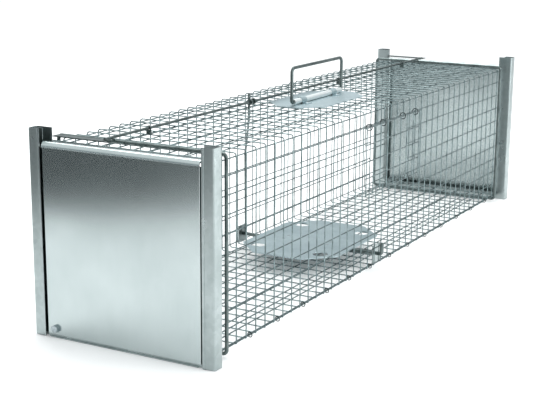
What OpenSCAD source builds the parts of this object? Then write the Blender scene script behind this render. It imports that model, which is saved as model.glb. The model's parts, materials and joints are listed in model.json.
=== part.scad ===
// Live catch trap: a wire mesh cage with a sheet metal drop door at each end.
// X runs along the cage, Y across it, Z up. The origin is at the middle of the resting plane.

/* [Cage] */
// Spacing of the wires along the cage
mesh_col = 25; // [24.5:0.5:25.5]
// Number of mesh cells along the cage
mesh_cols = 42; // [42:2:44]
// Spacing of the wires up the sides and across the roof
mesh_row = 25; // [25:1:26]
// Number of mesh cells up and across the cage
mesh_rows = 10; // [10:1:10]
// Thickness of the mesh
mesh_t = 2; // [1.6:0.1:2.2]
// Height of the mesh floor's middle above the resting plane
floor_z = 10; // [10:0.5:12]
// Diameter of the end rings
ring_d = 5; // [4:0.5:5]
// Distance of each end ring from the end of the mesh
ring_in = 30; // [28:1:32]

/* [Rails] */
// Depth of a guide rail along the cage
rail_depth = 17; // [17:0.5:19]
// Outer width over the two rails
rails_w = 281; // [281:1:283]
// Height of the rails
rail_h = 280; // [278:1:300]
// Thickness of the sheet metal
sheet_t = 1.2; // [1:0.1:1.2]

/* [Doors] */
// Width of a door's face
door_w = 241; // [239:1:241]
// Height of a door
door_h = 258; // [256:1:258]
// Depth of the flange along a door's top
door_flange = 13; // [10:1:13]
// Height of a door's lower edge above the resting plane
door_z = 4.5; // [4.5:0.5:5]

/* [Handle] */
// Place of the handle along the cage
handle_x = -26; // [-30:1:-20]
// Place of the handle across the cage
handle_y = -8; // [-10:1:-4]
// Width of the handle over the middles of its legs
handle_w = 172; // [166:1:176]
// Height of the handle above its hinge
handle_h = 53; // [48:1:56]
// Diameter of the handle
handle_d = 5; // [5:0.5:5.5]
// Length of the plate under the handle
plate_l = 200; // [192:1:204]
// Width of the plate under the handle
plate_w = 100; // [100:1:102]

/* [Treadle] */
// Length of the treadle
treadle_l = 236; // [220:2:240]
// Width of the treadle
treadle_w = 172; // [160:2:180]
// Height of the treadle's axle
axle_z = 25; // [24:0.5:25]
// Diameter of the axle
axle_d = 6; // [5:0.5:6]
// Diameter of the trigger lever and the trigger rod
trigger_d = 4; // [3.5:0.5:4]

/* [Bait flap] */
// Length of the bait flap
flap_l = 204; // [202:1:206]
// Place of the bait flap's end nearest the front door
flap_x = -97; // [-98:1:-94]
// Spacing of the bait flap's wires up the flap
flap_row = 26; // [26:0.5:27]

/* [Hidden] */
$fn = 32;
eps = 0.05;                                   // how much a joining ball is larger than its rod

cage_l = mesh_cols * mesh_col;                // length over the outer transverse wires
cage_h = mesh_rows * mesh_row;                // also the cage's width
side_y = cage_h / 2;                          // middle of a side panel
roof_z = floor_z + cage_h;                    // middle of the roof panel
roof_top = roof_z + mesh_t / 2;
wire_out = 10.5;                              // how far the long wires run past the last transverse
mesh_end = cage_l / 2 + wire_out;             // where the rails begin
end_x = mesh_end + rail_depth;                // the rails' front faces
rail_y = rails_w / 2;                         // the rails' outer faces
ring_x = mesh_end - ring_in;
ring_r = ring_d / 2;
ring_gap = 1.1;                               // between an end ring and the mesh, for its bends
ring_bend = 6;                                // radius of an end ring's bends, over the rod's middle

// Cross section of a guide rail
rail_lip = 17;                                // width of the front lip
rail_hem = 2.5;                               // width of the folded hem on the lip's inner edge
rail_slot = 6.6;                              // from the front face to the slot's back guide
back_lip = 24;                                // width of the lip that holds the mesh

// Door
tongue_out = 8.5;                             // how far each tongue runs beyond the face
tongue_in = 5;                                // from the face's front to the tongue's front
door_top = door_z + door_h;
bolt_y = 108;                                 // stop bolt from the middle
bolt_up = 7.5;                                // stop bolt above the door's lower edge
bolt_d = 6;
bolt_l = 21;
head_t = 4;
head_d = 11.5;                                // over the corners

// Trigger rod on the roof
rod_y = 41;
rod_r = trigger_d / 2;
rod_z = roof_top + ring_gap + ring_d + 0.4 + rod_r;
bar_x = end_x - 17;                           // outer edge of a catch bar
bar_deep = 12;
bar_w = 78;
bar_t = 1.5;
collar_d = 9.4;
collar_l = 4;

// Handle plate, sleeve and hinge
plate_z = roof_top;                           // the plate lies on the roof's wires
plate_cut = 34;                               // size of its cut corners
saddle_dx = 52;                               // straps from the handle's middle
saddle_dy = 9.5;                              // strap rivets from the sleeve's middle
rivet_r = 1.6;
sleeve_r = 4.5;
sleeve_l = handle_w - 10;
hinge_z = plate_z + sheet_t + sleeve_r;
pin_gap = 0.05;                               // radial clearance of a hinge pin
pin_l = 22;

// Treadle
axle_x = -mesh_col * 1.5;
axle_r = axle_d / 2;
treadle_t = 1.5;
treadle_z = axle_z + axle_r;                  // underside of the plate
treadle_mid = axle_x + 12;                    // middle of the plate along the cage
treadle_cut = 44;                             // size of its cut corners
hole_d = 24;
hole_dx = 152;
hole_dy = 112;
strap_y = 40;                                 // straps from the axle's middle
strap_dx = 9;                                 // strap rivets from the axle
bearing_t = 1.5;
bearing_l = 28;
bearing_h = 29;
lever_y = 117;
lever_knee = [axle_x - 2, lever_y, floor_z + 155];
lever_neck = [-mesh_col * 6, rod_y + 2 * rod_r + 0.6, roof_z - 14];
lever_tip_z = rod_z + 12.6;

// Bait flap, hinged on its own top wire
flap_y = -side_y - 5;
flap_z = floor_z + 9 * mesh_row;
flap_h = 4 * flap_row;
window_c = [18, 24];                          // columns that bound the bait opening
window_r = [5, 9];                            // rows that bound it
slot_c = [14, 16];                            // columns that bound the lever's slot in the roof

// Flat grille of cols x rows cells between its outer wires, its long wires run on by out
module grille(cols, rows, col, row, t, out = 0, cut = [[0, 0], [0, 0]]) {
    w = rows * row;
    difference() {
        translate([-out - (out > 0 ? 0 : t / 2), -w / 2 - t / 2])
            square([cols * col + 2 * out + (out > 0 ? 0 : t), w + t]);
        for (c = [0 : cols - 1], r = [0 : rows - 1])
            translate([c * col + t / 2, r * row - w / 2 + t / 2]) square([col - t, row - t]);
        if (out > 0)
            for (s = [-out, cols * col + t / 2], r = [0 : rows - 1])
                translate([s - (s < 0 ? 1 : 0), r * row - w / 2 + t / 2])
                    square([out - t / 2 + 1, row - t]);
        if (cut[0][1] > cut[0][0])
            translate([cut[0][0] * col + t / 2, cut[1][0] * row - w / 2 + t / 2])
                square([(cut[0][1] - cut[0][0]) * col - t, (cut[1][1] - cut[1][0]) * row - t]);
    }
}

// A roof or floor grille lies between the side panels
module level_panel(z, cut = [[0, 0], [0, 0]])
    translate([-cage_l / 2, 0, z - mesh_t / 2])
        linear_extrude(mesh_t)
            difference() {
                translate([-wire_out, -side_y + mesh_t / 2]) square([2 * mesh_end, 2 * side_y - mesh_t]);
                for (c = [0 : mesh_cols - 1], r = [0 : mesh_rows - 1]) level_cell(c, r);
                for (s = [-wire_out - 1, cage_l + mesh_t / 2], r = [0 : mesh_rows - 1])
                    translate([s, row_lo(r)])
                        square([wire_out + 1 - mesh_t / 2, row_hi(r) - row_lo(r)]);
                if (cut[0][1] > cut[0][0])
                    translate([cut[0][0] * mesh_col + mesh_t / 2, row_lo(cut[1][0])])
                        square([(cut[0][1] - cut[0][0]) * mesh_col - mesh_t,
                            row_hi(cut[1][1] - 1) - row_lo(cut[1][0])]);
            }

// Edges of row r of a roof or floor grille, whose outer wires lie against the sides
function row_lo(r) = r * mesh_row - side_y + (r == 0 ? 1.5 : 0.5) * mesh_t;
function row_hi(r) = (r + 1) * mesh_row - side_y - (r == mesh_rows - 1 ? 1.5 : 0.5) * mesh_t;

module level_cell(c, r)
    translate([c * mesh_col + mesh_t / 2, row_lo(r)])
        square([mesh_col - mesh_t, row_hi(r) - row_lo(r)]);

module side_panel(y, cut = [[0, 0], [0, 0]])
    translate([-cage_l / 2, y + mesh_t / 2, floor_z + side_y])
        rotate([90, 0, 0])
            linear_extrude(mesh_t) grille(mesh_cols, mesh_rows, mesh_col, mesh_row, mesh_t, wire_out, cut);

// Straight rod between two points
module rod(a, b, r) {
    d = b - a;
    l = norm(d);
    translate(a)
        rotate([0, acos(d[2] / l), atan2(d[1], d[0])])
            cylinder(r = r, h = l);
}

// Rod through a list of points, with a ball at each bend
module bent_rod(points, r) {
    for (i = [0 : len(points) - 2]) rod(points[i], points[i + 1], r);
    for (i = [1 : len(points) - 2]) translate(points[i]) sphere(r = r + eps);
}

// Closed ring of wire about the X axis
module loop_x(r, wire)
    rotate([0, 90, 0]) rotate_extrude() translate([r, 0]) circle(r = wire, $fn = 16);

// Copies its children for the front end, and mirrors them for the rear end
module rear() { mirror([1, 0, 0]) children(); }
module left() { mirror([0, 1, 0]) children(); }

module mesh_roof() {
    color("darkslategray")
        level_panel(roof_z, [slot_c, [6, 7]]);
}

module mesh_floor() {
    color("darkslategray") level_panel(floor_z);
}

module mesh_side_right() {
    color("darkslategray") side_panel(-side_y, [window_c, window_r]);
}

module mesh_side_left() {
    color("darkslategray") side_panel(side_y);
}

// Rings that close the seam where the mesh sheet's two edges meet
module seam_rings() {
    color("dimgray")
        for (i = [1 : 13])
            translate([(i * 3 - mesh_cols / 2 + 0.5) * mesh_col, -side_y + mesh_t / 2, floor_z])
                loop_x(3.2, 0.7);
}

// Front end ring: a square of rod round the outside of the mesh
module end_ring() {
    half = side_y + mesh_t / 2 + ring_gap + ring_r;
    inner = half - ring_bend;
    translate([-ring_x, 0, floor_z + side_y])
        rotate([0, 90, 0])
            for (q = [0 : 3])
                rotate([0, 0, 90 * q]) {
                    translate([-inner, -inner])
                        rotate([0, 0, 180])
                            rotate_extrude(angle = 90) translate([ring_bend, 0]) circle(r = ring_r);
                    translate([-inner, -half, 0])
                        rotate([0, 90, 0]) cylinder(r = ring_r, h = 2 * inner);
                }
}

module end_ring_front() { color("slategray") end_ring(); }
module end_ring_rear() { color("slategray") rear() end_ring(); }

// Front right guide rail: a folded channel whose slot holds the door's tongue
module rail() {
    translate([-end_x, -rail_y, 0])
        linear_extrude(rail_h) {
            square([rail_depth, sheet_t]);
            translate([0.8, 0]) square([sheet_t, rail_lip]);
            translate([0, rail_lip - rail_hem]) square([0.8 + sheet_t, rail_hem]);
            translate([rail_slot + 1, 0]) square([sheet_t, rail_lip]);
            translate([rail_depth - sheet_t, 0]) square([sheet_t, back_lip]);
        }
}

module rail_front_right() { color("lightgray") rail(); }
module rail_front_left() { color("lightgray") left() rail(); }
module rail_rear_right() { color("lightgray") rear() rail(); }
module rail_rear_left() { color("lightgray") rear() left() rail(); }

// Rivet heads on the outer walls of the rails
module rail_rivets() {
    color("silver")
        for (sx = [-1, 1], sy = [-1, 1], z = [22, 45, 205, 214])
            translate([sx * (mesh_end + 14), sy * rail_y, z])
                rotate([-90 * sy, 0, 0])
                    cylinder(r1 = 2, r2 = 1.3, h = 0.9);
}

// Strip along the floor between the rails
module sill() {
    translate([-end_x, -rail_y + back_lip, 0])
        cube([rail_depth, rails_w - 2 * back_lip, sheet_t]);
    difference() {
        translate([-mesh_end - sheet_t, -rail_y + back_lip, 0])
            cube([sheet_t, rails_w - 2 * back_lip, floor_z + 2]);
        translate([-mesh_end - 3, bolt_y - 9, 6]) cube([6, 9 + rail_y, floor_z]);
    }
    translate([-end_x + 2.2, -door_w / 2, 0])
        cube([sheet_t, door_w, 3.6]);
}

module sill_front() { color("lightgray") sill(); }
module sill_rear() { color("lightgray") rear() sill(); }

// Door: its face stands level with the rails' lips, and its folded edges run in their slots
module door() {
    face = 0.5;
    translate([-end_x, 0, 0]) {
        difference() {
            translate([0, 0, door_z])
                linear_extrude(door_h - sheet_t) {
                    translate([face, -door_w / 2]) square([sheet_t, door_w]);
                    for (s = [-1, 1]) {
                        translate([face, s * door_w / 2 - sheet_t / 2 - s * sheet_t / 2])
                            square([tongue_in - face, sheet_t]);
                        translate([tongue_in - sheet_t,
                            s * (door_w + tongue_out - 1) / 2 - (tongue_out + 1) / 2])
                            square([sheet_t, tongue_out + 1]);
                    }
                }
            translate([-1, bolt_y, door_z + bolt_up])
                rotate([0, 90, 0]) cylinder(r = bolt_d / 2, h = 8);
        }
        translate([face, -door_w / 2, door_top - sheet_t])
            cube([door_flange - face, door_w, sheet_t]);
        translate([door_flange - sheet_t, -door_w / 2, door_top - 5])
            cube([sheet_t, door_w, 5]);
    }
}

// Hexagon bolt through the door's lower corner, which the catch bar holds up
module stop_bolt() {
    translate([-end_x, bolt_y, door_z + bolt_up])
        rotate([0, 90, 0]) {
            translate([0, 0, 0.5 - head_t]) cylinder(d = head_d, h = head_t, $fn = 6);
            translate([0, 0, 0.5]) cylinder(d = bolt_d, h = bolt_l);
        }
}

// Nut on the stop bolt, behind the door
module stop_nut() {
    translate([-end_x + 0.5 + sheet_t, bolt_y, door_z + bolt_up])
        rotate([0, 90, 0])
            difference() {
                cylinder(d = head_d, h = 5, $fn = 6);
                translate([0, 0, -1]) cylinder(d = bolt_d, h = 7);
            }
}

module door_front() { color("gainsboro") door(); }
module door_rear() { color("gainsboro") rear() door(); }
module stop_bolt_front() { color("silver") stop_bolt(); }
module stop_bolt_rear() { color("silver") rear() stop_bolt(); }
module stop_nut_front() { color("silver") stop_nut(); }
module stop_nut_rear() { color("silver") rear() stop_nut(); }

// Outline of a plate with cut corners
module cut_plate(l, w, c)
    polygon([[-l / 2 + c, -w / 2], [l / 2 - c, -w / 2], [l / 2, -w / 2 + c], [l / 2, w / 2 - c],
        [l / 2 - c, w / 2], [-l / 2 + c, w / 2], [-l / 2, w / 2 - c], [-l / 2, -w / 2 + c]]);

// Plate that lies on the middle of the roof
module handle_plate() {
    color("lightsteelblue")
        translate([handle_x, handle_y, plate_z])
            linear_extrude(sheet_t)
                difference() {
                    cut_plate(plate_l, plate_w, plate_cut);
                    saddle_places() circle(r = rivet_r);
                }
}

module saddle_places()
    for (sx = [-1, 1], sy = [-1, 1]) translate([sx * saddle_dx, sy * saddle_dy, 0]) children();

module plate_rivets() {
    color("silver")
        translate([handle_x, handle_y, plate_z])
            saddle_places() {
                cylinder(r = rivet_r, h = 2 * sheet_t);
                translate([0, 0, 2 * sheet_t]) cylinder(r1 = 2.8, r2 = 1.8, h = 1);
            }
}

// Tube in which the handle's ends turn
module handle_sleeve() {
    color("whitesmoke")
        translate([handle_x - sleeve_l / 2, handle_y, hinge_z])
            rotate([0, 90, 0])
                difference() {
                    cylinder(r = sleeve_r, h = sleeve_l);
                    translate([0, 0, -1]) cylinder(r = handle_d / 2 + pin_gap, h = sleeve_l + 2);
                }
}

// Straps that hold the sleeve on the plate
module sleeve_saddles() {
    len = 14;
    color("lightsteelblue")
        for (sx = [-1, 1])
            translate([handle_x + sx * saddle_dx - len / 2, handle_y, hinge_z])
                rotate([90, 0, 90])
                    difference() {
                        linear_extrude(len)
                            difference() {
                                union() {
                                    circle(r = sleeve_r + sheet_t);
                                    translate([-14, -sleeve_r]) square([28, sheet_t]);
                                }
                                circle(r = sleeve_r);
                                translate([-20, -sleeve_r - 5]) square([40, 5]);
                                translate([-sleeve_r, -sleeve_r - 1]) square([2 * sleeve_r, sleeve_r + 1]);
                            }
                        for (s = [-1, 1])
                            translate([s * saddle_dy, -sleeve_r - 1, len / 2])
                                rotate([-90, 0, 0]) cylinder(r = rivet_r, h = 3);
                    }
}

// Bail handle, whose ends turn inwards into the sleeve
module carry_handle() {
    leg = handle_w / 2;
    pin = leg - handle_d / 2 - 1 - pin_l;
    color("darkgray")
        translate([handle_x, handle_y, hinge_z])
            bent_rod([[-pin - 2, 0, 0], [-leg, 0, 0], [-leg, 0, handle_h], [leg, 0, handle_h],
                [leg, 0, 0], [pin + 2, 0, 0]], handle_d / 2);
}

// Long rod on the roof between the two catch bars
module trigger_rod() {
    l = 2 * (bar_x - bar_deep);
    color("slategray")
        translate([-l / 2, rod_y, rod_z]) rotate([0, 90, 0]) cylinder(r = rod_r, h = l);
}

// Two collars that the lever's tip pushes
module rod_collars() {
    gap = 2 * rod_r + 2.4;
    color("dimgray")
        for (s = [-1, 1])
            translate([lever_neck[0] + s * (gap + collar_l) / 2 - collar_l / 2, rod_y, rod_z])
                rotate([0, 90, 0])
                    difference() {
                        cylinder(d = collar_d, h = collar_l);
                        translate([0, 0, -1]) cylinder(r = rod_r, h = collar_l + 2);
                    }
}

// Flat bar on the rod's end that holds a raised door by its stop bolt
module catch_bar()
    translate([-bar_x, rod_y - 4, rod_z - bar_t])
        cube([bar_deep, bar_w, bar_t]);

module catch_bar_front() { color("lightsteelblue") catch_bar(); }
module catch_bar_rear() { color("lightsteelblue") rear() catch_bar(); }

// Lugs on the roof that the rod slides through
module rod_guides() {
    w = 7.2;
    color("slategray")
        for (k = [4, 27, 38])
            translate([k * mesh_col - cage_l / 2 - 1, rod_y, 0])
                difference() {
                    union() {
                        translate([0, -w / 2, roof_top]) cube([2, w, rod_z - roof_top]);
                        translate([0, 0, rod_z]) rotate([0, 90, 0]) cylinder(r = w / 2, h = 2);
                    }
                    translate([-1, 0, rod_z]) rotate([0, 90, 0]) cylinder(r = rod_r + 0.5, h = 4);
                }
}

// Treadle plate with cut corners and four holes
module treadle_plate() {
    color("lightsteelblue")
        translate([0, 0, treadle_z])
            linear_extrude(treadle_t)
                difference() {
                    translate([treadle_mid, 0]) cut_plate(treadle_l, treadle_w, treadle_cut);
                    for (sx = [-1, 1], sy = [-1, 1])
                        translate([treadle_mid + sx * hole_dx / 2, sy * hole_dy / 2]) circle(d = hole_d);
                    strap_places() circle(r = rivet_r);
                }
}

module strap_places()
    for (s = [-1, 1], sx = [-1, 1]) translate([axle_x + sx * strap_dx, s * strap_y, 0]) children();

// Axle across the cage, whose right end is turned up outside the mesh
module treadle_axle() {
    out_y = -side_y - 8;
    color("slategray")
        bent_rod([[axle_x, side_y - 0.5, axle_z], [axle_x, out_y, axle_z], [axle_x, out_y, axle_z + 18]],
            axle_r);
}

// Straps that hold the axle under the treadle
module treadle_straps() {
    len = 12;
    color("lightsteelblue")
        for (s = [-1, 1])
            translate([axle_x, s * strap_y + len / 2, axle_z])
                rotate([90, 0, 0])
                    difference() {
                        linear_extrude(len)
                            difference() {
                                union() {
                                    circle(r = axle_r + sheet_t);
                                    translate([-13, axle_r - sheet_t]) square([26, sheet_t]);
                                }
                                circle(r = axle_r);
                                translate([-20, axle_r]) square([40, 5]);
                                translate([-axle_r, 0]) square([2 * axle_r, axle_r + 1]);
                            }
                        for (sx = [-1, 1])
                            translate([sx * strap_dx, 0, len / 2])
                                rotate([-90, 0, 0]) cylinder(r = rivet_r, h = 6);
                    }
}

module treadle_rivets() {
    color("silver")
        translate([0, 0, treadle_z - sheet_t])
            strap_places() {
                cylinder(r = rivet_r, h = sheet_t + treadle_t);
                translate([0, 0, sheet_t + treadle_t]) cylinder(r1 = 2.8, r2 = 1.8, h = 1);
            }
}

// Lever from the axle up the left side and in to the rod's collars
module trigger_lever() {
    color("slategray")
        bent_rod([[axle_x, lever_y, axle_z + axle_r - 0.1], lever_knee, lever_neck,
            [lever_neck[0], lever_neck[1], lever_tip_z]], rod_r);
}

// Bearing plate for the axle, on the inside of a side panel
module bearing() {
    translate([axle_x - bearing_l / 2, -side_y + mesh_t / 2, floor_z + 1])
        difference() {
            cube([bearing_l, bearing_t, bearing_h]);
            translate([bearing_l / 2, -1, axle_z - floor_z - 1])
                rotate([-90, 0, 0]) cylinder(r = axle_r + pin_gap, h = bearing_t + 2);
        }
}

module bearing_right() { color("lightgray") bearing(); }
module bearing_left() { color("lightgray") left() bearing(); }

// Mesh flap over the bait opening, hung by rings from a long wire of the side panel
module bait_flap() {
    cols = 8;
    past = 4;                                 // how far the top wire runs past the flap
    color("dimgray") {
        translate([flap_x, flap_y + mesh_t / 2, flap_z - flap_h / 2])
            rotate([90, 0, 0])
                linear_extrude(mesh_t) grille(cols, 4, flap_l / cols, flap_row, mesh_t);
        translate([flap_x - past, flap_y, flap_z])
            rotate([0, 90, 0]) cylinder(r = mesh_t / 2, h = flap_l + 2 * past);
    }
}

module flap_rings() {
    color("black")
        for (k = [0, 2, 5, 7])
            translate([flap_x + (k + 0.5) * flap_l / 8, flap_y + 2.5, flap_z]) loop_x(4.9, 0.75);
}

// Wire catch at the flap's lower edge
module flap_catch() {
    low = flap_z - flap_h - mesh_t / 2;
    x = flap_x + flap_l - 1.5 * flap_l / 8;
    color("black")
        bent_rod([[x, flap_y, low], [x, flap_y, low - 12], [x + 9, flap_y, low - 12]], 1);
}

mesh_roof();
mesh_floor();
mesh_side_right();
mesh_side_left();
seam_rings();
end_ring_front();
end_ring_rear();
rail_front_right();
rail_front_left();
rail_rear_right();
rail_rear_left();
rail_rivets();
sill_front();
sill_rear();
door_front();
stop_bolt_front();
stop_nut_front();
door_rear();
stop_bolt_rear();
stop_nut_rear();
handle_plate();
plate_rivets();
handle_sleeve();
sleeve_saddles();
carry_handle();
trigger_rod();
rod_collars();
catch_bar_front();
catch_bar_rear();
rod_guides();
treadle_plate();
treadle_axle();
treadle_straps();
treadle_rivets();
trigger_lever();
bearing_right();
bearing_left();
bait_flap();
flap_rings();
flap_catch();
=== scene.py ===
"""Looks of a double-ended live catch trap: welded wire cage, sheet metal drop doors and treadle.

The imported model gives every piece's place. This script dresses the sheet metal and fittings, and
builds the parts that need finer work: the rolled welded mesh, the bent rods, the folded doors and
rails, and the bolts.
"""

import json
import logging
import math
from dataclasses import dataclass, field
from enum import Enum
from typing import Iterable

import bmesh
import bpy
from mathutils import Matrix, Vector


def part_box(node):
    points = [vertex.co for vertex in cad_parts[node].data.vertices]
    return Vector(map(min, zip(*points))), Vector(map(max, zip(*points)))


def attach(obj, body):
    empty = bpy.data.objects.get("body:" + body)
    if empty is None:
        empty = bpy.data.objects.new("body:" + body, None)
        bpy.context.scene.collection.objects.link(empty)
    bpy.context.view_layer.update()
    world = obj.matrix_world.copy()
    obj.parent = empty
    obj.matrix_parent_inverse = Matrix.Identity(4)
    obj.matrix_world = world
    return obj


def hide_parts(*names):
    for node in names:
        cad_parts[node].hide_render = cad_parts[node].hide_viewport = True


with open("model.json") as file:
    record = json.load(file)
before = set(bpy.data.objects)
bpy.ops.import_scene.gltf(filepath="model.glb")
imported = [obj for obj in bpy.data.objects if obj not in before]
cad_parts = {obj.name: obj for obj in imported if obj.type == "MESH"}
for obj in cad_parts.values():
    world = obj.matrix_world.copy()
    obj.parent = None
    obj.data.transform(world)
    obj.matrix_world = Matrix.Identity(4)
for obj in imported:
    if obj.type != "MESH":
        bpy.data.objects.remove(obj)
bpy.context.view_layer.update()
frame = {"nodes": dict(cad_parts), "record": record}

MM = 0.001
# Sockets of the mix node, by number because its float, vector and colour sockets share names.
MIX_SHARE, MIX_FIRST, MIX_SECOND, MIX_RESULT = 0, 2, 3, 0
# Values of a pattern below which a surface shows only its tone, and above which only its wear.
TONE_STOP, WORN_STOP = 0.32, 0.72
# Values of a pattern over which the roughness runs from its least to its most.
SMOOTH_STOP, ROUGH_STOP = 0.25, 0.75
LOG = logging.getLogger("catch_trap")


class End(Enum):
    """The two ends of the cage, by the sign of their X."""

    FRONT = -1
    REAR = 1


# --------------------------------------------------------------------------- finishes


def linear(hex_colour: str) -> tuple[float, float, float, float]:
    """Turn an sRGB hex colour into linear RGBA.

    Args:
        hex_colour: Colour such as "#aab4b4".

    Returns:
        Linear red, green, blue and an alpha of 1.
    """
    values = [int(hex_colour[i : i + 2], 16) / 255 for i in (1, 3, 5)]
    flat = [v / 12.92 if v <= 0.04045 else ((v + 0.055) / 1.055) ** 2.4 for v in values]
    return (*flat, 1.0)


def add_node(tree: bpy.types.NodeTree, kind: str, settings: dict | None = None,
             links: dict | None = None) -> bpy.types.Node:
    """Add a shader node with its settings and its incoming links.

    Args:
        tree: Node tree that takes the node.
        kind: Blender's type name, such as "ShaderNodeTexNoise".
        settings: Values by input socket name, or by property name where no socket has it.
        links: Output sockets by the name of the input they feed.

    Returns:
        The new node.
    """
    node = tree.nodes.new(kind)
    for key, value in (settings or {}).items():
        if key in node.inputs:
            node.inputs[key].default_value = value
        else:
            setattr(node, key, value)
    for key, socket in (links or {}).items():
        tree.links.new(socket, node.inputs[key])
    return node


def per_metre(size_mm: float) -> float:
    """Texture scale that makes one cell this many millimetres wide."""
    return 1.0 / (size_mm * MM)


@dataclass(frozen=True)
class Finish:
    """A metal surface: two tones that drift into each other, and a fine grain.

    Attributes:
        name: What the surface is.
        tone: sRGB colour of most of it.
        worn: sRGB colour of its duller patches.
        metallic: 1 for bare or zinc-coated metal.
        roughness: Middle of the roughness range.
        spread: How far the roughness moves either way.
        drift_mm: Size of the patches.
        grain_mm: Size of the fine grain.
        relief: Strength of the grain's bump.
    """

    name: str
    tone: str
    worn: str
    metallic: float = 1.0
    roughness: float = 0.4
    spread: float = 0.06
    drift_mm: float = 60.0
    grain_mm: float = 2.0
    relief: float = 0.05

    def pattern(self, tree: bpy.types.NodeTree, place: bpy.types.NodeSocket) -> bpy.types.NodeSocket:
        """Make the pattern that mixes the two tones.

        Args:
            tree: Node tree of the material.
            place: Object coordinates.

        Returns:
            A value from 0 (tone) to 1 (worn).
        """
        drift = add_node(tree, "ShaderNodeTexNoise",
                         {"Scale": per_metre(self.drift_mm), "Detail": 4.0, "Roughness": 0.6},
                         {"Vector": place})
        return drift.outputs["Fac"]

    def build(self) -> bpy.types.Material:
        """Build the material.

        Returns:
            The finished material.
        """
        material = bpy.data.materials.new(self.name)
        material.use_nodes = True
        tree = material.node_tree
        tree.nodes.clear()
        place = add_node(tree, "ShaderNodeTexCoord").outputs["Object"]
        fac = self.pattern(tree, place)
        ramp = add_node(tree, "ShaderNodeValToRGB", links={"Fac": fac})
        ramp.color_ramp.elements[0].position = TONE_STOP
        ramp.color_ramp.elements[0].color = linear(self.tone)
        ramp.color_ramp.elements[1].position = WORN_STOP
        ramp.color_ramp.elements[1].color = linear(self.worn)
        sheen = add_node(tree, "ShaderNodeMapRange",
                         {"From Min": SMOOTH_STOP, "From Max": ROUGH_STOP,
                          "To Min": self.roughness - self.spread,
                          "To Max": self.roughness + self.spread}, {"Value": fac})
        grain = add_node(tree, "ShaderNodeTexNoise",
                         {"Scale": per_metre(self.grain_mm), "Detail": 3.0}, {"Vector": place})
        bump = add_node(tree, "ShaderNodeBump", {"Strength": self.relief, "Distance": 0.2 * MM},
                        {"Height": grain.outputs["Fac"]})
        shader = add_node(tree, "ShaderNodeBsdfPrincipled", {"Metallic": self.metallic},
                          {"Base Color": ramp.outputs["Color"], "Roughness": sheen.outputs["Result"],
                           "Normal": bump.outputs["Normal"]})
        add_node(tree, "ShaderNodeOutputMaterial", links={"Surface": shader.outputs["BSDF"]})
        return material


@dataclass(frozen=True)
class SpangledZinc(Finish):
    """Hot-dip galvanised sheet, whose zinc froze into flat crystals a few millimetres wide.

    Attributes:
        spangle_mm: Width of a crystal.
        spangle_share: How much the crystals add to the pattern.
    """

    spangle_mm: float = 7.0
    spangle_share: float = 0.35

    def pattern(self, tree: bpy.types.NodeTree, place: bpy.types.NodeSocket) -> bpy.types.NodeSocket:
        """Mix the soft patches with the zinc's crystals.

        Args:
            tree: Node tree of the material.
            place: Object coordinates.

        Returns:
            A value from 0 (tone) to 1 (worn).
        """
        soft = super().pattern(tree, place)
        cells = add_node(tree, "ShaderNodeTexVoronoi", {"Scale": per_metre(self.spangle_mm)},
                         {"Vector": place})
        tint = add_node(tree, "ShaderNodeSeparateColor", links={"Color": cells.outputs["Color"]})
        mix = add_node(tree, "ShaderNodeMix", {"data_type": "FLOAT"})
        mix.inputs[MIX_SHARE].default_value = self.spangle_share
        tree.links.new(soft, mix.inputs[MIX_FIRST])
        tree.links.new(tint.outputs["Red"], mix.inputs[MIX_SECOND])
        return mix.outputs[MIX_RESULT]


@dataclass(frozen=True)
class RolledSheet(Finish):
    """Smooth cold-rolled and galvanised sheet, with faint lines along the rolling direction.

    Attributes:
        line_mm: Spacing of the rolling lines, drawn coarser than the real ones so that they show.
        line_share: How much the lines add to the pattern.
    """

    line_mm: float = 3.0
    line_share: float = 0.12

    def pattern(self, tree: bpy.types.NodeTree, place: bpy.types.NodeSocket) -> bpy.types.NodeSocket:
        """Mix the soft patches with rolling lines that run up the sheet.

        Args:
            tree: Node tree of the material.
            place: Object coordinates.

        Returns:
            A value from 0 (tone) to 1 (worn).
        """
        soft = super().pattern(tree, place)
        long_way = add_node(tree, "ShaderNodeMapping", {"Scale": (1.0, 1.0, 0.03)}, {"Vector": place})
        lines = add_node(tree, "ShaderNodeTexNoise",
                         {"Scale": per_metre(self.line_mm), "Detail": 2.0},
                         {"Vector": long_way.outputs["Vector"]})
        mix = add_node(tree, "ShaderNodeMix", {"data_type": "FLOAT"})
        mix.inputs[MIX_SHARE].default_value = self.line_share
        tree.links.new(soft, mix.inputs[MIX_FIRST])
        tree.links.new(lines.outputs["Fac"], mix.inputs[MIX_SECOND])
        return mix.outputs[MIX_RESULT]


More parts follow.
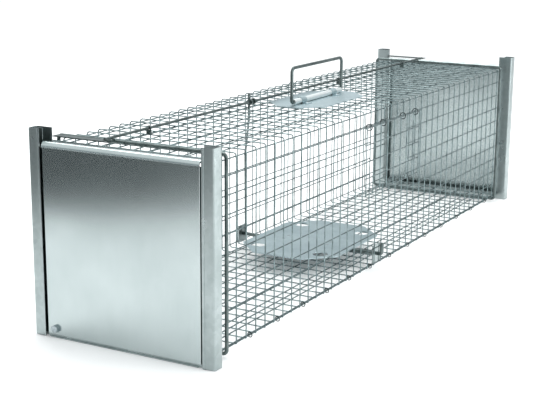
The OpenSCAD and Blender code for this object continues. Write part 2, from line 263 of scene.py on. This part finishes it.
class FinishRack:
    """The finishes of the trap, each built once."""

    # Zinc-coated drawn wire: grey-green and satin, with dull stretches.
    MESH_WIRE = Finish("galvanised_drawn_wire", "#8a9a9b", "#4d5b5d", roughness=0.3, spread=0.08,
                       drift_mm=14, grain_mm=0.9, relief=0.1)
    # Thicker galvanised rod: darker where handling has dulled the zinc.
    ROD = Finish("galvanised_steel_rod", "#75807f", "#454f4f", roughness=0.32, spread=0.08,
                 drift_mm=22, grain_mm=1.2, relief=0.12)
    # Dark steel wire of the rings.
    DARK_WIRE = Finish("dark_ring_wire", "#4d5656", "#2c3333", roughness=0.42, drift_mm=8,
                       grain_mm=0.8, relief=0.1)
    # Guide rails: hot-dip galvanised strip with a fine spangle.
    RAIL = SpangledZinc("spangled_rail_strip", "#aeb8b8", "#949f9f", roughness=0.3, spread=0.05,
                        drift_mm=70, spangle_mm=6, spangle_share=0.14, relief=0.03)
    # Doors: smooth galvanised sheet that mirrors the room softly.
    DOOR = RolledSheet("smooth_door_sheet", "#bcc6c6", "#aeb9b9", roughness=0.2, spread=0.02,
                       drift_mm=110, grain_mm=5, relief=0.006)
    # Treadle, handle plate and small straps: bluish zinc plate.
    PLATE = RolledSheet("bluish_zinc_plate", "#c3d3d7", "#a5b6bb", roughness=0.36, spread=0.05,
                        drift_mm=40, grain_mm=3, relief=0.03)
    # Rolled tube of the handle's hinge: brighter, nearly white zinc.
    TUBE = Finish("bright_zinc_tube", "#f4f7f7", "#dde4e4", roughness=0.42, drift_mm=25, relief=0.04)
    # Bolts, nuts and rivets: passivated zinc.
    FASTENER = Finish("passivated_fastener", "#b9c3c6", "#8b979b", roughness=0.3, drift_mm=5,
                      grain_mm=0.6, relief=0.08)

    def __init__(self) -> None:
        """Start with an empty rack."""
        self._made: dict[str, bpy.types.Material] = {}

    def get(self, finish: Finish) -> bpy.types.Material:
        """Return the finish's material, building it the first time.

        Args:
            finish: Finish that is wanted.

        Returns:
            Its material.
        """
        if finish.name not in self._made:
            self._made[finish.name] = finish.build()
        return self._made[finish.name]


# --------------------------------------------------------------------------- shaping tools


def filleted(points: list[Vector], radius: float, steps: int = 5, closed: bool = False) -> list[Vector]:
    """Round the corners of a run of points.

    Args:
        points: Corners and ends of the run.
        radius: Radius of each bend.
        steps: Straight pieces in each bend.
        closed: True where the run joins its own start.

    Returns:
        The points of the rounded run.
    """
    count = len(points)
    out: list[Vector] = []
    for i, corner in enumerate(points):
        if not closed and i in (0, count - 1):
            out.append(corner.copy())
            continue
        before = (points[i - 1] - corner).normalized()
        after = (points[(i + 1) % count] - corner).normalized()
        half = before.angle(after) / 2
        reach = radius / math.tan(half)
        centre = corner + (before + after).normalized() * (radius / math.sin(half))
        start = corner + before * reach - centre
        stop = corner + after * reach - centre
        turn = start.angle(stop)
        for k in range(steps + 1):
            share = k / steps
            mixed = (start * math.sin((1 - share) * turn) + stop * math.sin(share * turn)) / math.sin(turn)
            out.append(centre + mixed)
    return out


@dataclass
class Maker:
    """Builds one piece in a bmesh and hands it over to the frame.

    Attributes:
        name: Name of the piece.
        bm: Mesh being built.
    """

    name: str
    bm: bmesh.types.BMesh = field(default_factory=bmesh.new)

    def rod(self, path: list[Vector], radius: float, sides: int = 8, closed: bool = False) -> None:
        """Sweep a round section along a path by extruding a circle from point to point.

        Args:
            path: Middle line of the rod, in metres.
            radius: Radius of the rod.
            sides: Faces round the rod.
            closed: True for a ring that joins its own start.
        """
        count = len(path)
        way = (path[1] - path[0]).normalized()
        if closed:
            way = (path[1] - path[-1]).normalized()
        turn = way.to_track_quat("Z", "Y").to_matrix().to_4x4()
        made = bmesh.ops.create_circle(self.bm, segments=sides, radius=radius, cap_ends=not closed,
                                       matrix=Matrix.Translation(path[0]) @ turn)
        ring = list(made["verts"])
        first = list(ring)
        edges = [e for e in {e for v in ring for e in v.link_edges} if e.other_vert(e.verts[0]) in ring]
        here = path[0]
        for i in range(1, count):
            if i < count - 1 or closed:
                ahead = path[(i + 1) % count] - path[i - 1]
            else:
                ahead = path[i] - path[i - 1]
            ahead.normalize()
            moved = bmesh.ops.extrude_edge_only(self.bm, edges=edges)["geom"]
            ring = [g for g in moved if isinstance(g, bmesh.types.BMVert)]
            edges = [g for g in moved if isinstance(g, bmesh.types.BMEdge)]
            spin = way.rotation_difference(ahead).to_matrix().to_4x4()
            shift = Matrix.Translation(path[i]) @ spin @ Matrix.Translation(-here)
            bmesh.ops.transform(self.bm, matrix=shift, verts=ring)
            way, here = ahead, path[i]
        if closed:
            start_edges = {e for v in first for e in v.link_edges
                           if e.verts[0] in first and e.verts[1] in first}
            bmesh.ops.bridge_loops(self.bm, edges=list(start_edges) + edges)
        else:
            bmesh.ops.contextual_create(self.bm, geom=edges)

    def fold(self, outline: list[Vector], along: Vector, thickness: float) -> None:
        """Fold a sheet: the outline is its section, and it runs straight along one direction.

        Args:
            outline: Points of the section's outer face, with its bends rounded.
            along: How far and which way the sheet runs.
            thickness: Thickness of the sheet, to the left of the outline where it is positive.
        """
        axis = along.normalized()
        back: list[Vector] = []
        for i, point in enumerate(outline):
            before = (point - outline[max(i - 1, 0)]).normalized()
            after = (outline[min(i + 1, len(outline) - 1)] - point).normalized()
            side = axis.cross(before if before.length else after)
            other = axis.cross(after if after.length else before)
            mitre = (side + other).normalized()
            back.append(point + mitre * (thickness / mitre.dot(side)))
        ring = [self.bm.verts.new(p) for p in outline + back[::-1]]
        face = self.bm.faces.new(ring)
        moved = bmesh.ops.extrude_face_region(self.bm, geom=[face])["geom"]
        far = [g for g in moved if isinstance(g, bmesh.types.BMVert)]
        bmesh.ops.translate(self.bm, vec=along, verts=far)

    def bead(self, centre: Vector, radius: float) -> None:
        """Add one small weld nugget, a coarse ball."""
        bmesh.ops.create_icosphere(self.bm, subdivisions=1, radius=radius,
                                   matrix=Matrix.Translation(centre))

    def disc(self, centre: Vector, way: Vector, radius: float, height: float, sides: int,
             rim: float) -> None:
        """Add a solid disc or prism with a bevelled rim.

        Args:
            centre: Middle of the disc's base.
            way: Unit direction from its base to its top.
            radius: Radius over its corners.
            height: Height of the disc.
            sides: Faces round it.
            rim: Width of the bevel round its top.
        """
        turn = way.to_track_quat("Z", "Y").to_matrix().to_4x4()
        place = Matrix.Translation(centre + way * height / 2) @ turn
        made = bmesh.ops.create_cone(self.bm, cap_ends=True, segments=sides, radius1=radius,
                                     radius2=radius, depth=height, matrix=place)
        top = [e for e in {e for v in made["verts"] for e in v.link_edges}
               if all((v.co - centre).dot(way) > height * 0.9 for v in e.verts)]
        bmesh.ops.bevel(self.bm, geom=top, offset=rim, affect="EDGES", segments=3, profile=0.5,
                        material=-1)

    def finish(self, body: str, material: bpy.types.Material, slot: str, nodes: Iterable[str] = (),
               smooth_deg: float = 40.0) -> bpy.types.Object:
        """Turn the bmesh into an object that rides on a body.

        Args:
            body: CAD body the piece moves with.
            material: Its finish.
            slot: The record's material slot; not used.
            nodes: CAD nodes that it stands for.
            smooth_deg: Edges flatter than this are shaded smooth.

        Returns:
            The finished object.
        """
        bmesh.ops.recalc_face_normals(self.bm, faces=self.bm.faces)
        limit = math.radians(smooth_deg)
        for edge in self.bm.edges:
            edge.smooth = len(edge.link_faces) != 2 or edge.calc_face_angle(0.0) < limit
        for face in self.bm.faces:
            face.smooth = True
        mesh = bpy.data.meshes.new(self.name)
        self.bm.to_mesh(mesh)
        self.bm.free()
        piece = bpy.data.objects.new(self.name, mesh)
        bpy.context.scene.collection.objects.link(piece)
        mesh.materials.append(material)
        if nodes:
            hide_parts(*nodes)
        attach(piece, body)
        LOG.info("%s: %d faces on %s", self.name, len(mesh.polygons), body)
        return piece


# --------------------------------------------------------------------------- sub-assemblies


@dataclass
class MeshCage:
    """The sheet of welded mesh, rolled into a square tube and closed at its lower right edge.

    Attributes:
        rack: Finishes.
        wire_r: Radius of the mesh wire.
        col: Spacing of the wires that run round the cage.
        row: Spacing of the wires that run along it.
        cols: Cells along the cage.
        rows: Cells up a side.
        bend: Radius of the rolled edges.
        window: Columns and rows that bound the bait opening.
        slot: Column and rows where the roof wire is cut for the lever.
        inset: How far a hoop lies inside the CAD panels, in wire radii.
        long_in: Long wires behind the hoops, in wire radii.
        weld_out: Welds back towards the hoops, in wire radii.
        weld_r: Radius of a weld, in wire radii.
    """

    rack: FinishRack
    wire_r: float = 0.92 * MM
    col: float = 25 * MM
    row: float = 25 * MM
    cols: int = 42
    rows: int = 10
    bend: float = 4.5 * MM
    window: tuple[int, int, int, int] = (18, 24, 5, 9)
    slot: tuple[int, int, int] = (15, 6, 7)
    inset: float = 0.4
    long_in: float = 1.55
    weld_out: float = 0.8
    weld_r: float = 1.15

    def __post_init__(self) -> None:
        """Read the cage's box from the CAD panels."""
        low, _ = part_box("mesh_side_right")
        _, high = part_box("mesh_side_left")
        self.low, self.high = low, high
        self.side = self.high.y - self.wire_r * self.inset
        self.base = self.low.z + self.wire_r * self.inset
        self.top = self.high.z - self.wire_r * self.inset

    def hoop_x(self, index: int) -> float:
        """Place of a transverse wire along the cage."""
        return (index - self.cols / 2) * self.col

    def build(self) -> None:
        """Build the hoops, the long wires and their welds as one piece of mesh."""
        maker = Maker("welded_mesh")
        for index in range(self.cols + 1):
            for run in self._hoop_runs(index):
                maker.rod(run, self.wire_r, sides=8)
        for y, z, inward, cut in self._long_wires():
            centre = Vector((0, y, z)) + inward * self.wire_r * self.long_in
            for start, stop in self._spans(cut):
                maker.rod([Vector((start, centre.y, centre.z)), Vector((stop, centre.y, centre.z))],
                          self.wire_r, sides=8)
            self._welds(maker, centre - inward * self.wire_r * self.weld_out, cut)
        maker.finish("cage", self.rack.get(FinishRack.MESH_WIRE), "mesh_wire",
                     ["mesh_roof", "mesh_floor", "mesh_side_right", "mesh_side_left"])

    def _hoop_runs(self, index: int) -> list[list[Vector]]:
        """Give the runs of wire in one hoop, which the bait opening or the slot may cut.

        Args:
            index: Number of the hoop from the front.

        Returns:
            The middle line of each run.
        """
        x = self.hoop_x(index)
        corners = [(-self.side, self.base), (-self.side, self.top), (self.side, self.top),
                   (self.side, self.base), (-self.side, self.base)]
        points = [Vector((x, y, z)) for y, z in corners]
        first_col, last_col, first_row, last_row = self.window
        if first_col < index < last_col:
            low_stub = self.low.z + self.wire_r + first_row * self.row
            high_stub = self.low.z + self.wire_r + last_row * self.row
            lower = [points[0], Vector((x, -self.side, low_stub))]
            upper = [Vector((x, -self.side, high_stub))] + points[1:]
            return [lower, filleted(upper, self.bend)]
        slot_col, slot_from, slot_to = self.slot
        if index == slot_col:
            near = Vector((x, slot_from * self.row - self.rows * self.row / 2, self.top))
            far = Vector((x, slot_to * self.row - self.rows * self.row / 2, self.top))
            return [filleted([points[0], points[1], near], self.bend),
                    filleted([far] + points[2:], self.bend)]
        return [filleted(points, self.bend)]

    def _long_wires(self) -> list[tuple[float, float, Vector, bool]]:
        """List the long wires.

        Returns:
            Y and Z of each, the way inwards, and whether the bait opening cuts it.
        """
        half = self.rows * self.row / 2
        _, _, first_row, last_row = self.window
        wires: list[tuple[float, float, Vector, bool]] = []
        for j in range(self.rows):
            z = self.low.z + self.wire_r + j * self.row
            wires.append((-self.side, z, Vector((0, 1, 0)), first_row < j < last_row))
            if j > 0:
                wires.append((self.side, z, Vector((0, -1, 0)), False))
        for j in range(1, self.rows):
            y = j * self.row - half
            wires.append((y, self.top, Vector((0, 0, -1)), False))
            wires.append((y, self.base, Vector((0, 0, 1)), False))
        for y, z in ((-self.side, self.top - self.bend), (self.side, self.top - self.bend),
                     (self.side, self.base + self.bend)):
            wires.append((y, z, Vector((0, -math.copysign(1, y), 0)), False))
        wires.append((-self.side + 3 * self.wire_r, self.base, Vector((0, 0, 1)), False))
        return wires

    def _spans(self, cut: bool) -> list[tuple[float, float]]:
        """Give the stretches of a long wire along X.

        Args:
            cut: True where the bait opening cuts it.

        Returns:
            Start and stop of each stretch.
        """
        if not cut:
            return [(self.low.x, self.high.x)]
        first_col, last_col = self.window[:2]
        return [(self.low.x, self.hoop_x(first_col)), (self.hoop_x(last_col), self.high.x)]

    def _welds(self, maker: Maker, centre: Vector, cut: bool) -> None:
        """Put a weld nugget where a long wire crosses each hoop.

        Args:
            maker: Maker of the mesh.
            centre: Height and side of the welds.
            cut: True where the bait opening cuts the wire.
        """
        first_col, last_col = self.window[:2]
        for index in range(self.cols + 1):
            if cut and first_col < index < last_col:
                continue
            maker.bead(Vector((self.hoop_x(index), centre.y, centre.z)), self.wire_r * self.weld_r)


@dataclass
class BaitFlap:
    """The wire flap over the bait opening, hung on rings.

    Attributes:
        rack: Finishes.
        wire_r: Radius of its wire.
        cols: Cells along it.
        rows: Cells down it.
        past: How far its top wire runs past it at each end.
        inner_in: Long wires in from its inner face, in wire radii.
        weld_r: Radius of a weld, in wire radii.
    """

    rack: FinishRack
    wire_r: float = 0.95 * MM
    cols: int = 8
    rows: int = 4
    past: float = 4 * MM
    inner_in: float = 0.6
    weld_r: float = 1.15

    def build(self) -> None:
        """Build the flap's wires and their welds."""
        low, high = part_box("bait_flap")
        outer, inner = low.y + self.wire_r, high.y - self.wire_r * self.inner_in
        maker = Maker("flap_mesh")
        start, stop = low.x + self.past, high.x - self.past
        xs = [start + (stop - start) * i / self.cols for i in range(self.cols + 1)]
        zs = [low.z + MM + (high.z - low.z - 2 * MM) * j / self.rows for j in range(self.rows + 1)]
        for x in xs:
            maker.rod([Vector((x, outer, low.z)), Vector((x, outer, high.z))], self.wire_r)
        for z in zs:
            past = self.past if z == zs[-1] else self.wire_r
            maker.rod([Vector((start - past, inner, z)), Vector((stop + past, inner, z))], self.wire_r)
            for x in xs:
                maker.bead(Vector((x, (outer + inner) / 2, z)), self.wire_r * self.weld_r)
        maker.finish("flap", self.rack.get(FinishRack.MESH_WIRE), "mesh_wire", ["bait_flap"])


@dataclass
class BentRods:
    """Rods that are bent round a former: the handle, the lever and the axle.

    Attributes:
        rack: Finishes.
        handle_r: Radius of the handle's rod.
        lever_r: Radius of the lever's rod.
        axle_r: Radius of the axle.
        handle_bend: Middle line radius of the handle's upper corners.
        foot_bend: Radius of its lower corners.
        turned_in: Length of the ends that it turns in to the sleeve.
        lever_bend: Radius of the lever's bends.
        knee_rise: Height of the lever's knee over the floor mesh.
        neck_drop: How far the lever's neck is below the roof's mesh.
        axle_bend: Radius of the axle's bend.
    """

    rack: FinishRack
    handle_r: float = 2.5 * MM
    lever_r: float = 2 * MM
    axle_r: float = 3 * MM
    handle_bend: float = 8 * MM
    foot_bend: float = 3.2 * MM
    turned_in: float = 16.5 * MM
    lever_bend: float = 9 * MM
    knee_rise: float = 156 * MM
    neck_drop: float = 13 * MM
    axle_bend: float = 4.2 * MM

    def build(self) -> None:
        """Build every bent rod."""
        self._handle()
        self._lever()
        self._axle()

    def _handle(self) -> None:
        """Bend the handle from one rod, its ends turned in to the sleeve."""
        low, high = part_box("carry_handle")
        tube_low, tube_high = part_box("handle_sleeve")
        radius = self.handle_r
        left, right = low.x + radius, high.x - radius
        foot, head = (tube_low.z + tube_high.z) / 2, high.z - radius
        mid_y = (tube_low.y + tube_high.y) / 2
        path = [Vector((x, mid_y, z)) for x, z in (
            (left + self.turned_in, foot), (left, foot), (left, head),
            (right, head), (right, foot), (right - self.turned_in, foot))]
        lower = filleted(path[:3], self.foot_bend)
        upper = filleted(path[1:5], self.handle_bend, steps=8)
        last = filleted(path[3:], self.foot_bend)
        maker = Maker("bent_handle")
        maker.rod(lower[:-1] + upper[1:-1] + last[1:], radius, sides=20)
        maker.finish("handle", self.rack.get(FinishRack.ROD), "rod_steel", ["carry_handle"])

    def _lever(self) -> None:
        """Bend the lever that runs from the axle up the left side to the roof."""
        low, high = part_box("trigger_lever")
        axle_low, axle_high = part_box("treadle_axle")
        radius = self.lever_r
        axle_x = (axle_low.x + axle_high.x) / 2
        wall, inner = high.y - radius, low.y + radius
        tip = low.x + radius
        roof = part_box("mesh_roof")[0].z
        knee = Vector((axle_x - 2 * MM, wall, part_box("mesh_floor")[0].z + self.knee_rise))
        neck = Vector((tip, inner, roof - self.neck_drop))
        path = [Vector((axle_x, wall, low.z)), knee, neck, Vector((tip, inner, high.z))]
        maker = Maker("bent_lever")
        maker.rod(filleted(path, self.lever_bend), radius, sides=14)
        maker.finish("treadle", self.rack.get(FinishRack.ROD), "rod_steel", ["trigger_lever"])

    def _axle(self) -> None:
        """Bend the axle's outer end upwards."""
        low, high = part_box("treadle_axle")
        radius = self.axle_r
        mid_x, mid_z, out_y = (low.x + high.x) / 2, low.z + radius, low.y + radius
        path = [Vector((mid_x, high.y, mid_z)), Vector((mid_x, out_y, mid_z)),
                Vector((mid_x, out_y, high.z))]
        maker = Maker("bent_axle")
        maker.rod(filleted(path, self.axle_bend, steps=6), radius, sides=16)
        maker.finish("treadle", self.rack.get(FinishRack.ROD), "rod_steel", ["treadle_axle"])


@dataclass
class DropDoor:
    """A door of folded sheet: flat face, joggled side tongues and a flange along its top.

    Attributes:
        rack: Finishes.
        end: Which end of the cage.
        sheet: Thickness of the sheet.
        face_in: Face behind the rails' fronts.
        tongue_in: Front of a tongue behind the rails' fronts.
        face_w: Width of the face.
        cap_r: Radius of the bend over the door's top.
        lip_r: Radius of the bend behind it.
        lip: Height of the lip behind the top.
        seam: Where the cap meets the sides, below the top, in radii of the cap.
        edge_r: Radius of the side folds.
        head: Height of the bolt's head.
        head_r: Radius over the head's corners.
        shank_r: Radius of the bolt's shank.
    """

    rack: FinishRack
    end: End
    sheet: float = 1.2 * MM
    face_in: float = 0.5 * MM
    tongue_in: float = 3.8 * MM
    face_w: float = 241 * MM
    cap_r: float = 6.0 * MM
    lip_r: float = 1.6 * MM
    lip: float = 5 * MM
    seam: float = 1.2
    edge_r: float = 1.0 * MM
    head: float = 4 * MM
    head_r: float = 5.7 * MM
    shank_r: float = 2.95 * MM

    def build(self) -> None:
        """Build the door's sheet and its stop bolt."""
        label = self.end.name.lower()
        low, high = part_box(f"door_{label}")
        sign = self.end.value
        rail_low, rail_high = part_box(f"rail_{label}_right")
        front = rail_high.x if sign > 0 else rail_low.x
        face_x = front - sign * self.face_in
        self._sheet(label, low, high, sign, front, face_x)
        self._bolt(label, sign)

    def _sheet(self, label: str, low: Vector, high: Vector, sign: int, front: float,
               face_x: float) -> None:
        """Fold the sheet of the door.

        Args:
            label: "front" or "rear".
            low: Low corner of the CAD door.
            high: High corner of the CAD door.
            sign: Way outwards along X.
            front: Place of the rails' fronts.
            face_x: Place of the face.
        """
        half = self.face_w / 2
        back = low.x if sign > 0 else high.x
        maker = Maker(f"folded_door_{label}")
        seam_z = high.z - self.seam * self.cap_r
        tongue_x = front - sign * self.tongue_in
        section = [Vector((tongue_x, low.y, low.z)), Vector((tongue_x, -half, low.z)),
                   Vector((face_x, -half, low.z)), Vector((face_x, half, low.z)),
                   Vector((tongue_x, half, low.z)), Vector((tongue_x, high.y, low.z))]
        maker.fold(filleted(section, self.edge_r, steps=3), Vector((0, 0, seam_z - low.z)),
                   self.sheet * sign)
        cap = [Vector((face_x, -half, seam_z)), Vector((face_x, -half, high.z)),
               Vector((back, -half, high.z)), Vector((back, -half, high.z - self.lip))]
        bends = filleted(cap[:3], self.cap_r, steps=8)[:-1] + filleted(cap[1:], self.lip_r)[1:]
        maker.fold(bends, Vector((0, self.face_w, 0)), self.sheet * sign)
        maker.finish(f"door_{label}", self.rack.get(FinishRack.DOOR), "door_sheet", [f"door_{label}"],
                     smooth_deg=35)

    def _bolt(self, label: str, sign: int) -> None:
        """Make the stop bolt: a hexagon head with a bevelled rim, and its round shank.

        Args:
            label: "front" or "rear".
            sign: Way outwards along X.
        """
        low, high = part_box(f"stop_bolt_{label}")
        mid = (low + high) / 2
        out = Vector((sign, 0, 0))
        tip = high.x if sign > 0 else low.x
        inner = low.x if sign > 0 else high.x
        maker = Maker(f"hex_bolt_{label}")
        maker.disc(Vector((tip - sign * self.head, mid.y, mid.z)), out, self.head_r, self.head,
                   sides=6, rim=0.7 * MM)
        maker.disc(Vector((inner, mid.y, mid.z)), out, self.shank_r, abs(tip - inner) - self.head,
                   sides=20, rim=0.1 * MM)
        maker.finish(f"door_{label}", self.rack.get(FinishRack.FASTENER), "fastener",
                     [f"stop_bolt_{label}"], smooth_deg=25)


@dataclass
class GuideRail:
    """A guide rail folded from strip, with a hemmed front lip, a slot guide and a mesh lip.

    Attributes:
        rack: Finishes.
        end: Which end of the cage.
        side: -1 for the right side, 1 for the left.
        sheet: Thickness of the strip.
        lip: Width of the front lip.
        hem: Width of its folded hem.
        mesh_lip: Width of the lip that holds the mesh.
        slot_in: Front of the slot's guide behind the rail's front.
        hem_step: How far the hem stands in front of the lip.
        fold_r: Radius of the channel's folds.
        hem_r: Radius of the hem's folds.
    """

    rack: FinishRack
    end: End
    side: int
    sheet: float = 1.2 * MM
    lip: float = 17 * MM
    hem: float = 2.5 * MM
    mesh_lip: float = 24 * MM
    slot_in: float = 7.6 * MM
    hem_step: float = 0.8 * MM
    fold_r: float = 1.6 * MM
    hem_r: float = 0.35 * MM

    def build(self) -> None:
        """Fold the rail and its slot guide."""
        label = f"rail_{self.end.name.lower()}_{'left' if self.side > 0 else 'right'}"
        low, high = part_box(label)
        out = self.end.value
        front, back = (high.x, low.x) if out > 0 else (low.x, high.x)
        wall = high.y if self.side > 0 else low.y
        up = Vector((0, 0, high.z - low.z))
        face = front - out * self.hem_step
        turn = self.sheet * out * self.side
        maker = Maker(f"folded_{label}")

        def at(x: float, from_wall: float) -> Vector:
            """Give a point of the rail's foot.

            Args:
                x: Place along the cage.
                from_wall: How far inwards of the rail's side it is.

            Returns:
                The point.
            """
            return Vector((x, wall - self.side * from_wall, low.z))

        channel = [at(back, self.mesh_lip), at(back, 0), at(face, 0), at(face, self.lip - self.hem),
                   at(front, self.lip - self.hem), at(front, self.lip)]
        rounded = filleted(channel[:4], self.fold_r, steps=4)
        hemmed = filleted(channel[2:], self.hem_r, steps=2)
        maker.fold(rounded[:-1] + hemmed[1:], up, turn)
        guide = [at(front - out * self.slot_in, self.sheet), at(front - out * self.slot_in, self.lip)]
        maker.fold(guide, up, turn)
        maker.finish("cage", self.rack.get(FinishRack.RAIL), "rail_sheet", [label], smooth_deg=35)


@dataclass
class CadFittings:
    """CAD pieces whose shape is right as it is, and that only take a finish.

    Attributes:
        rack: Finishes.
    """

    rack: FinishRack

    def build(self) -> None:
        """Dress every CAD node by its material slot."""
        by_slot = {
            "mesh_wire": FinishRack.MESH_WIRE,
            "dark_wire": FinishRack.DARK_WIRE,
            "rod_steel": FinishRack.ROD,
            "rail_sheet": FinishRack.RAIL,
            "door_sheet": FinishRack.DOOR,
            "zinc_plate": FinishRack.PLATE,
            "bright_tube": FinishRack.TUBE,
            "fastener": FinishRack.FASTENER,
        }
        # Small pieces whose zinc has gone as dull as the rod that they sit on.
        dulled = {name: FinishRack.ROD for name in ("catch_bar_front", "catch_bar_rear",
                                                    "rod_collars", "rod_guides")}
        for part in frame["record"]["subparts"]:
            node = frame["nodes"][part["node"]]
            finish = dulled.get(part["node"], by_slot[part["material_slot"]])
            node.data.materials.clear()
            node.data.materials.append(self.rack.get(finish))
            LOG.info("%s: %s", part["node"], finish.name)


@dataclass
class Studio:
    """Floor, soft lights and camera.

    Attributes:
        azimuth: Camera's bearing round the trap, 0 looking along +Y.
        elevation: Camera's height angle in degrees.
        roll: Camera's roll in degrees.
        lens: Focal length for a 36 mm wide frame.
        stand: Where the camera stands.
        room_top: Height on the room's ramp, out of 1, from which its light is palest.
        room_light: Strength of the room's light.
        floor_half: Half the floor's width.
        floor_drop: How far the floor lies under the trap's feet.
        card_place: Middle of the dark card.
        card_turn: Turn of the dark card in degrees.
        card_half: Half the dark card's width.
    """

    azimuth: float = -60.99
    elevation: float = 13.5
    roll: float = 0.41
    lens: float = 81.2
    stand: Vector = field(default_factory=lambda: Vector((-1.78, -0.905, 0.557)))
    room_top: float = 0.55
    room_light: float = 1.16
    floor_half: float = 14.0
    floor_drop: float = 0.5 * MM
    card_place: tuple[float, float, float] = (-1.914, 0.961, 0.004)
    card_turn: float = -34.7
    card_half: float = 0.95

    def build(self) -> None:
        """Set up the whole studio."""
        self._world()
        self._floor()
        self._dark_card()
        self._lamps()
        self._camera()

    def _world(self) -> None:
        """Fill the room with light that is grey below and nearly white above."""
        world = bpy.data.worlds.new("studio_room")
        bpy.context.scene.world = world
        world.use_nodes = True
        tree = world.node_tree
        way = add_node(tree, "ShaderNodeTexCoord").outputs["Generated"]
        height = add_node(tree, "ShaderNodeSeparateXYZ", links={"Vector": way}).outputs["Z"]
        ramp = add_node(tree, "ShaderNodeValToRGB", links={"Fac": height})
        ramp.color_ramp.elements[0].color = linear("#79858a")
        ramp.color_ramp.elements[1].position = self.room_top
        ramp.color_ramp.elements[1].color = linear("#f7fafb")
        background = tree.nodes["Background"]
        tree.links.new(ramp.outputs["Color"], background.inputs["Color"])
        background.inputs["Strength"].default_value = self.room_light
        bpy.context.scene.view_settings.view_transform = "Standard"

    def _plane(self, name: str, place: Matrix, size: float) -> bpy.types.Object:
        """Add a flat square that isn't part of the trap.

        Args:
            name: Name of the square.
            place: Where it stands.
            size: Half its width.

        Returns:
            The square.
        """
        bm = bmesh.new()
        bmesh.ops.create_grid(bm, x_segments=1, y_segments=1, size=size, matrix=place)
        mesh = bpy.data.meshes.new(name)
        bm.to_mesh(mesh)
        bm.free()
        plane = bpy.data.objects.new(name, mesh)
        bpy.context.scene.collection.objects.link(plane)
        return plane

    def _surface(self, name: str, colour: str, glow: float) -> bpy.types.Material:
        """Make a plain matt surface, lit a little from within.

        Args:
            name: Name of the material.
            colour: Its sRGB colour.
            glow: Strength of its own light.

        Returns:
            The material.
        """
        material = bpy.data.materials.new(name)
        material.use_nodes = True
        shader = material.node_tree.nodes["Principled BSDF"]
        shader.inputs["Base Color"].default_value = linear(colour)
        shader.inputs["Roughness"].default_value = 0.9
        shader.inputs["Emission Color"].default_value = linear(colour)
        shader.inputs["Emission Strength"].default_value = glow
        return material

    def _floor(self) -> None:
        """Lay the white paper floor."""
        floor = self._plane("paper_floor", Matrix.Translation((0, 0, -self.floor_drop)), self.floor_half)
        floor.data.materials.append(self._surface("white_paper", "#fdfdfd", 0.06))

    def _dark_card(self) -> None:
        """Lay a dark card out in front of the door, seen only in reflections."""
        turn = Matrix.Rotation(math.radians(self.card_turn), 4, "Z")
        card = self._plane("dark_card", Matrix.Translation(self.card_place) @ turn, self.card_half)
        card.data.materials.append(self._surface("black_flag", "#20272a", 0.0))
        card.visible_camera = False
        card.visible_shadow = False
        card.visible_diffuse = False

    def _lamp(self, name: str, place: Vector, target: Vector, size: float, watts: float) -> None:
        """Hang one square soft box.

        Args:
            name: Name of the lamp.
            place: Where it hangs.
            target: What it points at.
            size: Width of the soft box.
            watts: Its power.
        """
        data = bpy.data.lights.new(name, "AREA")
        data.size = size
        data.energy = watts
        lamp = bpy.data.objects.new(name, data)
        lamp.location = place
        lamp.rotation_euler = (target - place).to_track_quat("-Z", "Y").to_euler()
        bpy.context.scene.collection.objects.link(lamp)

    def _lamps(self) -> None:
        """Hang a large soft box overhead and a fill at the camera's right."""
        middle = Vector((0, 0, 0.12))
        self._lamp("overhead_box", Vector((0.5, 0.6, 2.2)), middle, size=1.8, watts=34)
        self._lamp("side_box", Vector((0.1, -2.3, 0.9)), middle, size=1.3, watts=34)

    def _camera(self) -> None:
        """Stand the camera."""
        data = bpy.data.cameras.new("camera")
        data.sensor_width = 36
        data.lens = self.lens
        data.clip_start = 0.05
        camera = bpy.data.objects.new("camera", data)
        bearing, height = math.radians(self.azimuth), math.radians(self.elevation)
        back = Vector((math.sin(bearing) * math.cos(height), -math.cos(bearing) * math.cos(height),
                       math.sin(height)))
        right = (-back).cross(Vector((0, 0, 1))).normalized()
        turn = Matrix((right, back.cross(right), back)).transposed().to_4x4()
        tilt = Matrix.Rotation(math.radians(self.roll), 4, "Z")
        camera.matrix_world = Matrix.Translation(self.stand) @ turn @ tilt
        bpy.context.scene.collection.objects.link(camera)
        bpy.context.scene.camera = camera


def main() -> None:
    """Dress the CAD pieces, build the finer ones and set up the studio."""
    logging.basicConfig(level=logging.INFO, format="%(message)s")
    rack = FinishRack()
    CadFittings(rack).build()
    MeshCage(rack).build()
    BaitFlap(rack).build()
    BentRods(rack).build()
    for end in End:
        DropDoor(rack, end).build()
        for side in (-1, 1):
            GuideRail(rack, end, side).build()
    Studio().build()


if __name__ == "__main__":
    main()
